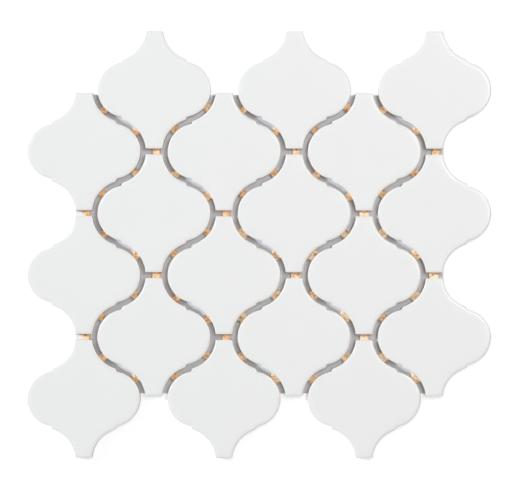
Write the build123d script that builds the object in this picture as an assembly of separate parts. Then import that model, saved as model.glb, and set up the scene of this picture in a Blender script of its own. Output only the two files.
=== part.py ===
from build123d import *
from math import sqrt
import os

# Lantern mosaic sheet: glazed porcelain tiles in staggered columns, held together by glue dots in the joints.
# The sheet lies on its back with the glaze up. X runs across the columns and Y along them, from neck to neck.
# The origin is the middle of the sheet on the plane of the tile backs. All sizes are in millimetres.

# Layout of the sheet
columns = 6
rows = 3
flank_joint = 3.4  # grout joint between two curved flanks
neck_joint = 3.8  # grout joint between two neck ends

# One lantern tile
tile_width = 75.4  # across the two bulges
tile_height = 78.6  # from neck end to neck end
tile_thickness = 6.0
neck_width = 11.2  # throat of the neck, between its two flanks
neck_corner_cut = 0.6
shoulder_relief = 0.5  # how far each arc stops short of the middle of the curved joint
shoulder_setback = 1.8  # from the middle of the curved joint back to the shoulder step
shoulder_lean = 0.9  # how far the step leans outwards on its way down to the bulge
bevel_width = 2.4  # cushioned edge of the glazed face, seen from above
bevel_drop = 0.8  # and how far it falls

# Glue dots
dot_length = 5.8  # along the joint
dot_height = 3.6  # from the tile backs up
flank_dot_angle = 42.0  # place on a bulge, from its widest point, in degrees
neck_dot_offset = 1.4  # place between two necks, to the right of their middle

# What follows from the interlock of one tile with the next
row_pitch = tile_height + neck_joint
column_pitch = tile_width / 2 + flank_joint + neck_width / 2
stagger = row_pitch / 4  # alternate columns stand this far below and above the middle
bulge_radius = row_pitch / 4 - flank_joint / 2 - shoulder_relief
flank_radius = bulge_radius + flank_joint  # concentric with the bulge of the tile beside it
bulge_x = tile_width / 2 - bulge_radius
flank_x = column_pitch - bulge_x
flank_y = row_pitch / 2
neck_end = tile_height / 2


def lantern_face():
    """Outline of one tile: two flat necks, four concave flanks, four stepped shoulders and two round bulges."""
    neck_x = flank_x - sqrt(flank_radius**2 - (flank_y - neck_end) ** 2)
    step_top_x = column_pitch / 2 - shoulder_setback - shoulder_lean / 2
    step_top_y = flank_y - sqrt(flank_radius**2 - (flank_x - step_top_x) ** 2)
    step_foot_x = step_top_x + shoulder_lean
    step_foot_y = sqrt(bulge_radius**2 - (step_foot_x - bulge_x) ** 2)
    edges = []
    for side in (1, -1):
        for end in (1, -1):
            neck_corner = (side * neck_x, end * neck_end)
            step_top = (side * step_top_x, end * step_top_y)
            step_foot = (side * step_foot_x, end * step_foot_y)
            edges.append(RadiusArc(neck_corner, step_top, -side * end * flank_radius))
            edges.append(Line(step_top, step_foot))
        upper_foot = (side * step_foot_x, step_foot_y)
        widest = (side * tile_width / 2, 0)
        lower_foot = (side * step_foot_x, -step_foot_y)
        edges.append(ThreePointArc(upper_foot, widest, lower_foot))
    for end in (1, -1):
        edges.append(Line((-neck_x, end * neck_end), (neck_x, end * neck_end)))
    return make_face(edges)


def lantern_tile():
    """One pressed tile over the origin, its back at zero height, with a cushioned edge round the glazed face."""
    block = extrude(lantern_face(), tile_thickness)
    glazed_face = block.faces().sort_by(Axis.Z)[-1]
    cushioned = chamfer(glazed_face.edges(), bevel_width, bevel_drop, reference=glazed_face)
    upright_edges = cushioned.edges().filter_by(Axis.Z)
    neck_corners = upright_edges.filter_by(lambda edge: abs(edge.center().Y) > neck_end - neck_corner_cut)
    return chamfer(neck_corners, neck_corner_cut)


def tile_centre(column, row):
    """Middle of a tile. Columns count from the left and rows from the top, and odd columns hang lower."""
    x = (column - (columns + 1) / 2) * column_pitch
    y = ((rows + 1) / 2 - row) * row_pitch
    return x, y - stagger if column % 2 else y + stagger


def flank_dot(column, row, side, end):
    """Glue dot beside a tile's bulge, filling the joint between it and the concave flank of the next tile."""
    x, y = tile_centre(column, row)
    joint_ring = Circle(flank_radius) - Circle(bulge_radius)
    across_joint = Pos(bulge_radius + flank_joint / 2, 0) * Rectangle(2 * flank_joint, dot_length)
    direction = end * flank_dot_angle if side > 0 else 180 - end * flank_dot_angle
    dot = extrude(joint_ring & Rot(0, 0, direction) * across_joint, dot_height)
    return Pos(x + side * bulge_x, y) * dot


def neck_dot(column, row):
    """Glue dot between the lower neck of a tile and the upper neck of the tile below it."""
    x, y = tile_centre(column, row)
    return Pos(x + neck_dot_offset, y - flank_y) * extrude(Rectangle(dot_length, neck_joint), dot_height)


def flank_dots(column):
    """All glue dots in the curved joints between a column and the next, two to each pair of neighbouring tiles."""
    dots = []
    for row in range(1, rows + 1):
        upper_neighbour = row if column % 2 else row - 1
        for neighbour, end in ((upper_neighbour, 1), (upper_neighbour + 1, -1)):
            if 1 <= neighbour <= rows:
                dots.append(flank_dot(column, row, 1, end))
                dots.append(flank_dot(column + 1, neighbour, -1, -end))
    return Compound(dots)


def tile_columns(first, last):
    """All tiles of neighbouring columns, as separate solids."""
    tile = lantern_tile()
    places = [tile_centre(column, row) for column in range(first, last + 1) for row in range(1, rows + 1)]
    return Compound([Pos(*place) * tile for place in places])


os.makedirs("parts", exist_ok=True)
for column in range(1, columns + 1, 2):
    last = min(column + 1, columns)
    export_step(tile_columns(column, last), f"parts/tiles_columns_{column}_{last}.step")
for column in range(1, columns + 1):
    neck_dots = [neck_dot(column, row) for row in range(1, rows)]
    export_step(Compound(neck_dots), f"parts/neck_dots_column_{column}.step")
for column in range(1, columns):
    export_step(flank_dots(column), f"parts/flank_dots_columns_{column}_{column + 1}.step")
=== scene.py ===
import random
from math import acos, atan2, cos, pi, radians, sin, sqrt

import bpy
import numpy as np
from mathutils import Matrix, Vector, noise
from mathutils.geometry import delaunay_2d_cdt


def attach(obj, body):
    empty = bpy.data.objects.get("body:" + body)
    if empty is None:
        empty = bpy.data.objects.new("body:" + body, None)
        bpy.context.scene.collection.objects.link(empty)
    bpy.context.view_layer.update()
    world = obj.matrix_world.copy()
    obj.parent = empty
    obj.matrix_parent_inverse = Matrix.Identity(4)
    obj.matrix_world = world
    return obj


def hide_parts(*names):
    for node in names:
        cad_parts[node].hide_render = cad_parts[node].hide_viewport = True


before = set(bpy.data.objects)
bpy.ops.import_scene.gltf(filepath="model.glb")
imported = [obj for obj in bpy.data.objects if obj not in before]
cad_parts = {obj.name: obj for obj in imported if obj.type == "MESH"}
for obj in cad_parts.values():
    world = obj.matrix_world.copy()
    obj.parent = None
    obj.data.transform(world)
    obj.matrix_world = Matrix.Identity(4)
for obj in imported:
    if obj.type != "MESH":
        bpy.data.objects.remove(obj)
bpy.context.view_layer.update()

# Lantern mosaic sheet: glazed porcelain tiles in staggered columns, held by glue dots in their open joints.
# Sizes are in millimetres, and METRE turns them into the frame's metres where a mesh or a finish is made.
METRE = 0.001

# Layout of the sheet
columns = 6
rows = 3
flank_joint = 3.4
neck_joint = 3.8

# Outline of one lantern tile
tile_width = 75.4
tile_height = 78.6
tile_thickness = 6.0
neck_width = 11.2
shoulder_relief = 0.5
shoulder_setback = 1.8
shoulder_lean = 0.9
neck_corner_radius = 0.55
neck_corner_growth = 0.6  # by how much the corner's radius grows for each millimetre of inset
shoulder_radius = 0.25
shoulder_growth = 0.2
foot_radius = 0.2

# Points on each arc of a quarter of the outline
corner_steps = 6
flank_steps = 18
shoulder_steps = 6
foot_steps = 5
bulge_steps = 24

# Edge of one tile, from its back up to the glazed face
back_arris = 0.35
roll_width = 0.22
roll_drop = 0.28
cushion_width = 3.1
cushion_drop = 0.3
cushion_power = 3.0
flat_border = 0.5  # level strip inside the cushioned edge
crease_angle = 35

# Pressed back of one tile: a border land, and a shallow recess with bars that end level with the border
land_width = 2.6
recess_slope = 0.4
recess_depth = 0.4
bar_pitch = 4.0
bar_width = 1.7
bar_draft = 0.25
bar_clearance = 1.6

# Glaze of one tile: where it ends on the walls, above the back, and its bands at the rim, below the face
glaze_end = 3.4
glaze_drip = 1.2
glaze_end_blur = 0.12
greyer_band = (0.002, 0.085)  # the full white gives way to a slightly greyer white on the cushion
rim_starts = (0.15, 0.45)  # the white gives way to a tan line, darkened with painted shade of the rolled edge
rim_stops = (0.58, 0.75)  # the tan line gives way to the wall
rim_waver = 0.08

# Glue dots
dot_height = 3.6
dot_least_height = 0.92  # of the lowest dot, as a share of the full height
dot_length = 5.3
dot_length_spread = 0.3
dot_lean = 0.12  # the most by which a dot is skewed along its joint at either wall
dot_ragged = 0.06  # how far its ends wander, as a share of its length
dot_wrinkle = 0.3
dot_climb = 0.35  # how much higher the glue stands at the walls than in the middle of the joint
flank_dot_angle = 42.0  # place on a bulge, from its widest point, in degrees
neck_dot_offset = 1.4  # place between two necks, to the right of their middle
dot_place_spread = 0.35
glue_drift_x = 3.4  # of the dots in the joints right of an even column
glue_drift_y = -0.65  # of the dots in all curved joints
hand_set_left = -15.0  # right of this and below the next, the dots were set by hand: long, pale and undrifted
hand_set_top = 25.0
hand_set_blend = 2.0  # over which the colour of the glue changes
hand_dot_length = 7.2
hand_dot_spread = 0.8
glue_seed = 11

# What follows from the interlock of one tile with the next
row_pitch = tile_height + neck_joint
column_pitch = tile_width / 2 + flank_joint + neck_width / 2
stagger = row_pitch / 4
bulge_radius = row_pitch / 4 - flank_joint / 2 - shoulder_relief
flank_radius = bulge_radius + flank_joint
bulge_x = tile_width / 2 - bulge_radius
flank_x = column_pitch - bulge_x
flank_y = row_pitch / 2
neck_end = tile_height / 2


def tile_centre(column, row):
    """Middle of a tile. Columns count from the left and rows from the top, and odd columns hang lower."""
    x = (column - (columns + 1) / 2) * column_pitch
    y = ((rows + 1) / 2 - row) * row_pitch
    return x, y - stagger if column % 2 else y + stagger


def arc(centre, radius, start, stop, steps, last=False):
    """Points on an arc from one angle to another, with or without the point at its end."""
    turns = np.linspace(start, stop, steps, endpoint=last)
    return np.column_stack((centre[0] + radius * np.cos(turns), centre[1] + radius * np.sin(turns)))


def heading(start, stop):
    """Angle of the way from one point to another."""
    return atan2(stop[1] - start[1], stop[0] - start[0])


def quarter_outline(inset):
    """A quarter of a tile's outline, drawn in by an inset, from the upper neck down to the right bulge."""
    flank = (flank_x, flank_y)
    bulge = (bulge_x, 0.0)

    # The shoulder step is a line, given by its outward normal and its distance from the tile's middle
    step_top_x = column_pitch / 2 - shoulder_setback - shoulder_lean / 2
    step_top = (step_top_x, flank_y - sqrt(flank_radius**2 - (flank_x - step_top_x) ** 2))
    step_foot_x = step_top_x + shoulder_lean
    step_foot = (step_foot_x, sqrt(bulge_radius**2 - (step_foot_x - bulge_x) ** 2))
    normal = heading(step_top, step_foot) + pi / 2
    step_distance = step_top[0] * cos(normal) + step_top[1] * sin(normal)

    corner_radius = neck_corner_radius + neck_corner_growth * inset
    corner_y = neck_end - inset - corner_radius
    corner_reach = flank_radius + inset + corner_radius
    corner = (flank_x - sqrt(corner_reach**2 - (flank_y - corner_y) ** 2), corner_y)

    top_radius = shoulder_radius + shoulder_growth * inset
    top_reach = flank_radius + inset + top_radius
    flank_distance = flank_x * cos(normal) + flank_y * sin(normal)
    top_turn = normal - acos((step_distance - inset - top_radius - flank_distance) / top_reach)
    shoulder = (flank_x + top_reach * cos(top_turn), flank_y + top_reach * sin(top_turn))

    foot_reach = bulge_radius + foot_radius
    foot_turn = normal + acos((step_distance + foot_radius - bulge_x * cos(normal)) / foot_reach)
    foot = (bulge_x + foot_reach * cos(foot_turn), foot_reach * sin(foot_turn))

    flank_start = heading(flank, corner) % (2 * pi)
    flank_stop = top_turn % (2 * pi)
    return np.concatenate((
        arc(corner, corner_radius, pi / 2, flank_start - pi, corner_steps),
        arc(flank, flank_radius + inset, flank_start, flank_stop, flank_steps),
        arc(shoulder, top_radius, flank_stop - pi, normal, shoulder_steps, last=True),
        arc(foot, foot_radius + inset, normal + pi, foot_turn + pi, foot_steps),
        arc(bulge, bulge_radius - inset, foot_turn, 0.0, bulge_steps, last=True),
    ))


def right_side(inset):
    """The right half of a tile's outline, drawn in by an inset, from the upper neck to the lower one."""
    upper = quarter_outline(inset)
    return np.concatenate((upper, upper[-2::-1] * (1, -1)))


def outline(inset):
    """A tile's whole outline, drawn in by an inset: down its right side and up its left."""
    right = right_side(inset)
    return np.concatenate((right, right[::-1] * (-1, 1)))


def edge_height(inset):
    """Height of the glaze near the edge: a slow cushion slope that ends in a tight roll at the rim."""
    cushion = cushion_drop * (1 - inset / cushion_width) ** cushion_power
    steep = max(0.0, 1 - inset / roll_width)
    return tile_thickness - cushion - roll_drop * (1 - sqrt(1 - steep**2))


def edge_rings(roll_steps=8, cushion_steps=6):
    """Inset and height of each ring of a tile, from the recess of its back to its flat face."""
    recess = (land_width + recess_slope, recess_depth)
    rings = [recess, (land_width, 0.0), (back_arris, 0.0), (0.0, back_arris), (0.0, tile_thickness / 2)]
    insets = [roll_width * (1 - cos(step / roll_steps * pi / 2)) for step in range(roll_steps + 1)]
    insets += [float(inset) for inset in np.linspace(roll_width, cushion_width, cushion_steps + 1)[1:]]
    edge = [(inset, edge_height(inset)) for inset in insets]
    return rings + edge + [(cushion_width + flat_border, tile_thickness)]


def back_bars():
    """The raised bars of a tile's back, each as a ring of corners at its foot and one at its crest."""
    right = right_side(land_width + recess_slope)[::-1]
    bars = []
    most = int(neck_end / bar_pitch)
    for count in range(-most, most + 1):
        middle = count * bar_pitch
        edges = (middle - bar_width / 2, middle + bar_width / 2)
        reach = min(np.interp(edge, right[:, 1], right[:, 0]) for edge in edges) - bar_clearance
        if abs(middle) + bar_width > right[-1, 1] or reach < bar_width:
            continue
        rings = []
        for draft, height in ((0.0, recess_depth), (bar_draft, 0.0)):
            x = reach - draft
            y = bar_width / 2 - draft
            cut = y / 2
            corners = [
                (x, -cut), (x, cut), (x - cut, y), (cut - x, y),
                (-x, cut), (-x, -cut), (cut - x, -y), (x - cut, -y),
            ]
            rings.append([(a, middle + b, height) for a, b in corners])
        bars.append(rings)
    return bars


def lantern_tile():
    """Points and faces of one closed tile over the origin."""
    loops = []
    for inset, height in edge_rings():
        flat = outline(inset)
        loops.append(np.column_stack((flat, np.full(len(flat), height))))
    size = len(loops[0])
    points = np.concatenate(loops).tolist()
    faces = []
    for start in range(0, size * (len(loops) - 1), size):
        for i in range(size):
            here, beside = start + i, start + (i + 1) % size
            faces.append((here, here + size, beside + size, beside))

    # The flat of the face is spanned from side to side
    top = size * (len(loops) - 1)
    for i in range(size // 2 - 1):
        right, left = top + i, top + size - 1 - i
        faces.append((left, left - 1, right + 1, right))

    # The recess of the back is filled round the feet of its bars
    edges = [(i, (i + 1) % size) for i in range(size)]
    flat = [Vector(point[:2]) for point in points[:size]]
    source = list(range(size))
    owner = [None] * size
    for number, (foot, crest) in enumerate(back_bars()):
        sides = len(foot)
        first_foot, first_crest, first_flat = len(points), len(points) + sides, len(flat)
        points += foot + crest
        flat += [Vector(point[:2]) for point in foot]
        source += range(first_foot, first_foot + sides)
        owner += [number] * sides
        for i in range(sides):
            j = (i + 1) % sides
            edges.append((first_flat + i, first_flat + j))
            faces.append((first_foot + i, first_crest + i, first_crest + j, first_foot + j))
        faces.append(tuple(range(first_crest + sides - 1, first_crest - 1, -1)))
    inside_only, merge_distance = 1, 1e-6
    triangles = delaunay_2d_cdt(flat, edges, [], inside_only, merge_distance)[2]
    for a, b, c in triangles:
        if owner[a] is None or not owner[a] == owner[b] == owner[c]:
            faces.append((source[c], source[b], source[a]))
    return np.array(points), faces


def glue_dot(length, place, chance):
    """One blob of glue from wall to wall of a joint.

    place turns a way along the joint, in millimetres, and across it, from -1 to 1, into x and y.
    """
    broad, fine = 0.75, 2.1  # waves and ripples to a millimetre
    seed = chance.uniform(0, 100)
    height = dot_height * chance.uniform(dot_least_height, 1.0)
    lean = chance.uniform(-dot_lean, dot_lean)
    along_steps = np.sin(np.linspace(-pi / 2, pi / 2, 19))  # closer at the ends
    across_steps = np.linspace(-1, 1, 9)
    top, bottom = [], []
    for along in along_steps:
        for across in across_steps:
            ragged = 1 + dot_ragged * noise.noise(Vector((across * 1.5, seed, along)))
            x, y = place(along * length / 2 * ragged + lean * across, across)
            body = (1 - along**12) ** 0.25  # full nearly to the ends, where it drops
            wave = noise.noise(Vector((x * broad, y * broad, seed)))
            ripple = noise.noise(Vector((x * fine, y * fine, seed + 7)))
            rise = height * body * (1 - dot_climb / dot_height * (1 - across**2))
            top.append((x, y, max(0.0, rise + body * dot_wrinkle * (wave + 0.5 * ripple - 0.6))))
            bottom.append((x, y, 0.0))
    width = len(across_steps)
    last = (len(along_steps) - 1) * width

    def under(corner):
        """The point below one of the top, which at either end of the dot is that same point."""
        return corner + last if width <= corner < last else corner

    faces = []
    for start in range(0, last, width):
        for a in range(start, start + width - 1):
            square = (a, a + width, a + width + 1, a + 1)
            faces.append(square)
            faces.append(tuple(under(corner) for corner in reversed(square)))
        for a, turn in ((start, 1), (start + width - 1, -1)):
            skirt = dict.fromkeys((a, under(a), under(a + width), a + width))
            faces.append(tuple(skirt)[::turn])
    return top + bottom[width:last], faces


def joined(parts):
    """Several lists of points and faces as one."""
    points, faces = [], []
    for part_points, part_faces in parts:
        first = len(points)
        points.extend(part_points)
        faces.extend(tuple(first + corner for corner in face) for face in part_faces)
    return points, faces


def make_piece(name, parts, finish, node):
    """A shaded mesh that stands for one node of the frame."""
    points, faces = joined(parts)
    mesh = bpy.data.meshes.new(name)
    mesh.from_pydata([tuple(METRE * value for value in point) for point in points], [], faces)
    mesh.polygons.foreach_set("use_smooth", [True] * len(mesh.polygons))
    mesh.set_sharp_from_angle(angle=radians(crease_angle))
    mesh.materials.append(finish)
    piece = bpy.data.objects.new(name, mesh)
    bpy.context.collection.objects.link(piece)
    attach(piece, "root")
    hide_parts(node)


class Value:
    """One output of a node. Arithmetic on it adds Math nodes to its finish."""

    def __init__(self, nodes, socket):
        self.nodes = nodes
        self.socket = socket

    def math(self, operation, first, second):
        return self.nodes.add("Math", {"operation": operation}, {0: first, 1: second})

    def __add__(self, other):
        return self.math("ADD", self, other)

    def __radd__(self, other):
        return self.math("ADD", other, self)

    def __sub__(self, other):
        return self.math("SUBTRACT", self, other)

    def __rsub__(self, other):
        return self.math("SUBTRACT", other, self)

    def __mul__(self, other):
        return self.math("MULTIPLY", self, other)

    def __rmul__(self, other):
        return self.math("MULTIPLY", other, self)

    def most(self, other):
        return self.math("MAXIMUM", self, other)


class Nodes:
    """The nodes of one finish."""

    def __init__(self, tree):
        self.tree = tree
        tree.nodes.clear()

    def add(self, kind, settings=None, sockets=None, out=0):
        """Adds a node: first its settings, then the values or links of its sockets. Gives one output."""
        node = self.tree.nodes.new("ShaderNode" + kind)
        for name, value in (settings or {}).items():
            if name == "stops":
                for _ in range(len(value) - 2):
                    node.color_ramp.elements.new(0.5)
                for stop, (position, colour) in zip(node.color_ramp.elements, value):
                    stop.position = position
                    stop.color = colour
            else:
                setattr(node, name, value)
        for name, value in (sockets or {}).items():
            if isinstance(value, Value):
                self.tree.links.new(value.socket, node.inputs[name])
            else:
                node.inputs[name].default_value = value
        return Value(self, node.outputs[out]) if node.outputs else None

    def blend(self, mask, under, over):
        """One colour over another by a mask."""
        return self.add("Mix", {"data_type": "RGBA"}, {0: mask, 6: under, 7: over}, out=2)

    def ramp(self, value, low, high):
        """A smooth mask that goes from 0 at low to 1 at high."""
        settings = {"interpolation_type": "SMOOTHSTEP"}
        return self.add("MapRange", settings, {"Value": value, "From Min": low, "From Max": high})

    def grain(self, place, size, detail=2.0):
        """Noise from 0 to 1 with grains of about that size in millimetres."""
        return self.add("TexNoise", {}, {"Vector": place, "Scale": 1 / (size * METRE), "Detail": detail})


def new_finish(name):
    """An empty material and its nodes."""
    material = bpy.data.materials.new(name)
    material.use_nodes = True
    return material, Nodes(material.node_tree)


def gloss_glaze():
    """White gloss glaze that turns a little greyer on the cushion and tan at the rim, where the tan line is
    darkened with painted shade of the roll, and ends in an uneven line over the bare body below.
    """
    material, nodes = new_finish("white_gloss_glaze")
    place = nodes.add("TexCoord", out="Object")
    height = nodes.add("SeparateXYZ", {}, {0: place}, out="Z")
    clouds = nodes.grain(place, 22.0, 3.0)
    drips = nodes.grain(place, 5.0)
    specks = nodes.grain(place, 0.35, 1.0)

    def above(level, band):
        """A mask that goes from 0 at the lower end of a band to 1 at its upper end."""
        shallow, deep = band
        return nodes.ramp(level, METRE * (tile_thickness - deep), METRE * (tile_thickness - shallow))

    glaze_line = METRE * (glaze_end + glaze_drip * drips)
    glazed = nodes.ramp(height - glaze_line, -glaze_end_blur * METRE, glaze_end_blur * METRE)
    uneven = height + METRE * rim_waver * (drips - 0.5)
    above_rim = above(uneven, rim_starts)
    below_rim = 1 - above(uneven, rim_stops)
    plain_white_mask = above(height, greyer_band)

    dull_white, clear_white = (0.842, 0.8555, 0.837, 1), (0.854, 0.8655, 0.847, 1)
    # the white is a little greyer on the cushion near the edge
    greyer_white = (0.816, 0.827, 0.808, 1)
    # the tan rim line is darker than the wall: thin glaze over the body, with painted shade of the rolled
    # edge
    rim_tan_painted_shade, wall_tan = (0.73, 0.64, 0.56, 1), (0.82, 0.71, 0.62, 1)
    dark_body, pale_body = (0.44, 0.36, 0.30, 1), (0.58, 0.49, 0.42, 1)
    face = nodes.blend(clouds, dull_white, clear_white)
    cushion = nodes.blend(plain_white_mask, greyer_white, face)
    wall = nodes.blend(below_rim, rim_tan_painted_shade, wall_tan)
    coat = nodes.blend(above_rim, wall, cushion)
    body = nodes.blend(specks, dark_body, pale_body)

    pitting = nodes.grain(place, 0.8, 3.0)
    relief = glazed * (0.25 * drips + 0.6 * clouds) + (1 - glazed) * (0.8 * pitting + 0.5 * specks)
    bump = nodes.add("Bump", {}, {"Strength": 0.1, "Distance": 0.06 * METRE, "Height": relief})
    shader = nodes.add("BsdfPrincipled", {}, {
        "Base Color": nodes.blend(glazed, body, coat),
        "Roughness": 0.85 - glazed * (0.80 - 0.05 * clouds),
        "Normal": bump,
    })
    nodes.add("OutputMaterial", {}, {"Surface": shader})
    return material


def amber_glue():
    """Amber hot-melt glue: streaked, cloudy and glossy, and paler where it was set by hand."""
    material, nodes = new_finish("amber_glue")
    place = nodes.add("TexCoord", out="Object")
    stretched = nodes.add("Mapping", {}, {"Vector": place, "Rotation": (0, 0, 0.6), "Scale": (1.0, 1.6, 1.0)})
    streaks = nodes.grain(stretched, 1.9, 2.0)
    clouds = nodes.grain(place, 3.0, 2.0)
    bubbles = nodes.grain(place, 0.5, 1.0)
    mottle = streaks * 0.65 + clouds * 0.35
    amber = nodes.add("ValToRGB", {"stops": [
        (0.34, (0.42, 0.20, 0.08, 1)),
        (0.47, (0.89, 0.54, 0.27, 1)),
        (0.62, (0.95, 0.74, 0.48, 1)),
    ]}, {"Fac": mottle})
    pale = nodes.add("ValToRGB", {"stops": [
        (0.36, (0.46, 0.25, 0.10, 1)),
        (0.46, (0.87, 0.58, 0.33, 1)),
        (0.60, (0.97, 0.84, 0.63, 1)),
    ]}, {"Fac": mottle})
    right = nodes.add("SeparateXYZ", {}, {0: place}, out="X")
    up = nodes.add("SeparateXYZ", {}, {0: place}, out="Y")
    beside = nodes.ramp(right, METRE * (hand_set_left - hand_set_blend), METRE * hand_set_left)
    above = nodes.ramp(up, METRE * hand_set_top, METRE * (hand_set_top + hand_set_blend))
    relief = streaks * 0.7 + bubbles * 0.3
    bump = nodes.add("Bump", {}, {"Strength": 0.4, "Distance": 0.25 * METRE, "Height": relief})
    shader = nodes.add("BsdfPrincipled", {}, {
        "Base Color": nodes.blend(beside * (1 - above), amber, pale),
        "Roughness": 0.22 + 0.25 * clouds,
        "Normal": bump,
    })
    nodes.add("OutputMaterial", {}, {"Surface": shader})
    return material


def seen_by_eye(nodes):
    """1 for what the camera sees, straight or mirrored, and 0 for the light that falls on the sheet."""
    straight = nodes.add("LightPath", out="Is Camera Ray")
    mirrored = nodes.add("LightPath", out="Is Glossy Ray")
    through = nodes.add("LightPath", out="Is Transmission Ray")
    return straight.most(mirrored).most(through)


def white_floor():
    """A white floor that keeps shadows, and shows as plain white round the sheet."""
    side = 12.0
    level = -0.05 * METRE
    plain_x = (122.2, 124.0)  # from the middle, where the shaded floor of the joints turns plain white
    plain_y = (99.3, 100.1)
    bluish_white = (0.85, 0.91, 1.0, 1)
    glow_strength = 0.50
    mesh = bpy.data.meshes.new("floor")
    corners = [(-side, -side, level), (side, -side, level), (side, side, level), (-side, side, level)]
    mesh.from_pydata(corners, [], [(0, 1, 2, 3)])
    floor = bpy.data.objects.new("floor", mesh)
    bpy.context.collection.objects.link(floor)

    material, nodes = new_finish("white_floor")
    place = nodes.add("TexCoord", out="Object")
    away = nodes.add("VectorMath", {"operation": "ABSOLUTE"}, {0: place})
    away_x = nodes.add("SeparateXYZ", {}, {0: away}, out="X")
    away_y = nodes.add("SeparateXYZ", {}, {0: away}, out="Y")
    open_x = nodes.ramp(away_x, METRE * plain_x[0], METRE * plain_x[1])
    open_y = nodes.ramp(away_y, METRE * plain_y[0], METRE * plain_y[1])
    paper = nodes.add("BsdfDiffuse", {}, {"Color": bluish_white})
    glow = nodes.add("Emission", {}, {"Color": (1, 1, 1, 1), "Strength": glow_strength})
    bright = nodes.add("AddShader", {}, {0: paper, 1: glow})
    shader = nodes.add("MixShader", {}, {0: seen_by_eye(nodes) * open_x.most(open_y), 1: paper, 2: bright})
    nodes.add("OutputMaterial", {}, {"Surface": shader})
    mesh.materials.append(material)


def studio_light():
    """A soft lamp and a far panel at the right, a spot and a low cool lamp at the left, a pale surround."""
    # Each lamp's azimuth and elevation in degrees, its distance, width and height in metres, how bright it
    # alone makes a level white surface, whether the glaze mirrors it, and its colour
    lamps = (
        ("soft_lamp", 42, 63, 1.15, 0.32, 0.32, 0.180, False, (1.04, 0.99, 0.95)),
        ("far_panel", 20, 73.8, 20.0, 5.4, 5.34, 0.094, True, (0.99, 1.0, 1.01)),
        ("spot_lamp", 158, 74, 6.0, 0.18, 0.18, 0.009, True, (1.0, 1.0, 1.0)),
        ("side_lamp", 162, 28.5, 6.3, 0.19, 0.19, 0.43, True, (0.87, 0.945, 1.045)),
    )
    for name, azimuth, elevation, distance, width, height, share, mirrored, colour in lamps:
        lamp = bpy.data.lights.new(name, "AREA")
        lamp.shape = "RECTANGLE"
        lamp.size = width
        lamp.size_y = height
        lamp.energy = share * pi**2 * distance**2 / sin(radians(elevation))
        lamp.color = colour
        holder = bpy.data.objects.new(name, lamp)
        level = distance * cos(radians(elevation))
        rise = distance * sin(radians(elevation))
        place = (level * cos(radians(azimuth)), level * sin(radians(azimuth)), rise)
        holder.location = place
        holder.rotation_euler = (-Vector(place)).to_track_quat("-Z", "Y").to_euler()
        holder.visible_glossy = mirrored
        bpy.context.collection.objects.link(holder)

    world = bpy.data.worlds.new("surround")
    world.use_nodes = True
    bpy.context.scene.world = world
    nodes = Nodes(world.node_tree)
    light = nodes.add("Background", {}, {"Color": (1.06, 0.975, 0.90, 1), "Strength": 0.31})
    white = nodes.add("Background", {}, {"Color": (1, 1, 1, 1), "Strength": 1.0})
    shown = nodes.add("MixShader", {}, {0: seen_by_eye(nodes), 1: light, 2: white})
    nodes.add("OutputWorld", {}, {"Surface": shown})


def overhead_camera():
    """A long lens straight above the sheet, a little off its middle."""
    lens, sensor = 150.0, 36.0
    view_width = 349.5  # of the picture, at the height of the glazed faces
    aim_x, aim_y = 2.18, 2.89  # from the middle of the sheet
    turn = 0.06  # in degrees
    camera = bpy.data.cameras.new("overhead_camera")
    camera.lens = lens
    camera.sensor_width = sensor
    holder = bpy.data.objects.new("overhead_camera", camera)
    holder.location = [METRE * value for value in (aim_x, aim_y, tile_thickness + view_width * lens / sensor)]
    holder.rotation_euler = (0, 0, radians(turn))
    bpy.context.collection.objects.link(holder)
    bpy.context.scene.camera = holder


def set_tiles(finish):
    """The glazed tiles, in one piece for each pair of columns."""
    points, faces = lantern_tile()
    for first in range(1, columns + 1, 2):
        places = [tile_centre(column, row) for column in (first, first + 1) for row in range(1, rows + 1)]
        tiles = [(points + (*place, 0.0), faces) for place in places]
        name = f"columns_{first}_{first + 1}"
        make_piece(f"glazed_tiles_{name}", tiles, finish, f"tiles_{name}")


def hand_set(x, y):
    """Whether a place is in the part of the sheet where the glue was set by hand."""
    return x > hand_set_left and y < hand_set_top


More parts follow.
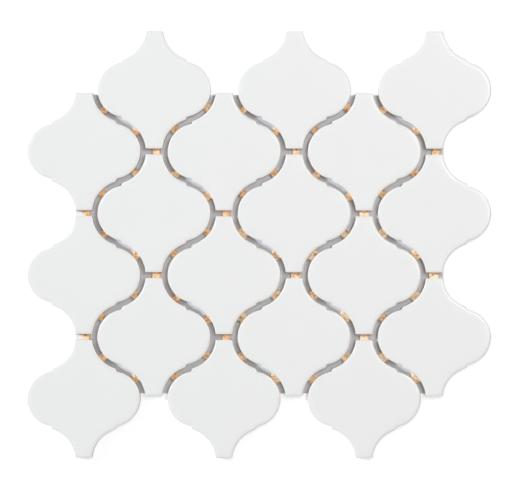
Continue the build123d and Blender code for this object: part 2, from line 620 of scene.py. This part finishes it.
def flank_dot(column, row, side, end, chance):
    """Glue between a tile's bulge and the concave flank of the next tile."""
    x, y = tile_centre(column, row)
    x += side * bulge_x
    radius = bulge_radius + flank_joint / 2
    rise = radians(end * flank_dot_angle)
    middle = rise if side > 0 else pi - rise
    length = chance.gauss(dot_length, dot_length_spread)
    drift_x, drift_y = glue_drift_x, glue_drift_y
    if hand_set(x + radius * cos(middle), y + radius * sin(middle)):
        length = chance.gauss(hand_dot_length, hand_dot_spread)
        drift_x = drift_y = 0.0
    elif (column % 2 > 0) == (side > 0):
        drift_x = 0.0
    drift = drift_y * cos(middle) - drift_x * sin(middle)
    middle += (drift + chance.gauss(0.0, dot_place_spread)) / radius

    def place(along, across):
        turn = middle + along / radius
        reach = radius - across * flank_joint / 2
        return x + reach * cos(turn), y + reach * sin(turn)

    return glue_dot(length, place, chance)


def neck_dot(column, row, chance):
    """Glue between the lower neck of a tile and the upper neck of the tile below it."""
    x, y = tile_centre(column, row)
    y -= flank_y
    if hand_set(x, y):
        length = chance.gauss(hand_dot_length, hand_dot_spread)
    else:
        length = chance.gauss(dot_length, dot_length_spread)
        x += neck_dot_offset
    x += chance.gauss(0.0, dot_place_spread)

    def place(along, across):
        return x + along, y + across * neck_joint / 2

    return glue_dot(length, place, chance)


def set_glue(finish):
    """The glue dots, in one piece for the necks of each column and one for the joints beside each column."""
    chance = random.Random(glue_seed)
    for column in range(1, columns + 1):
        dots = [neck_dot(column, row, chance) for row in range(1, rows)]
        make_piece(f"glue_necks_column_{column}", dots, finish, f"neck_dots_column_{column}")
    for column in range(1, columns):
        dots = []
        for row in range(1, rows + 1):
            upper_neighbour = row if column % 2 else row - 1
            for neighbour, end in ((upper_neighbour, 1), (upper_neighbour + 1, -1)):
                if 1 <= neighbour <= rows:
                    dots.append(flank_dot(column, row, 1, end, chance))
                    dots.append(flank_dot(column + 1, neighbour, -1, -end, chance))
        name = f"columns_{column}_{column + 1}"
        make_piece(f"glue_flanks_{name}", dots, finish, f"flank_dots_{name}")


bpy.context.scene.view_settings.view_transform = "Standard"
overhead_camera()
studio_light()
white_floor()
set_tiles(gloss_glaze())
set_glue(amber_glue())
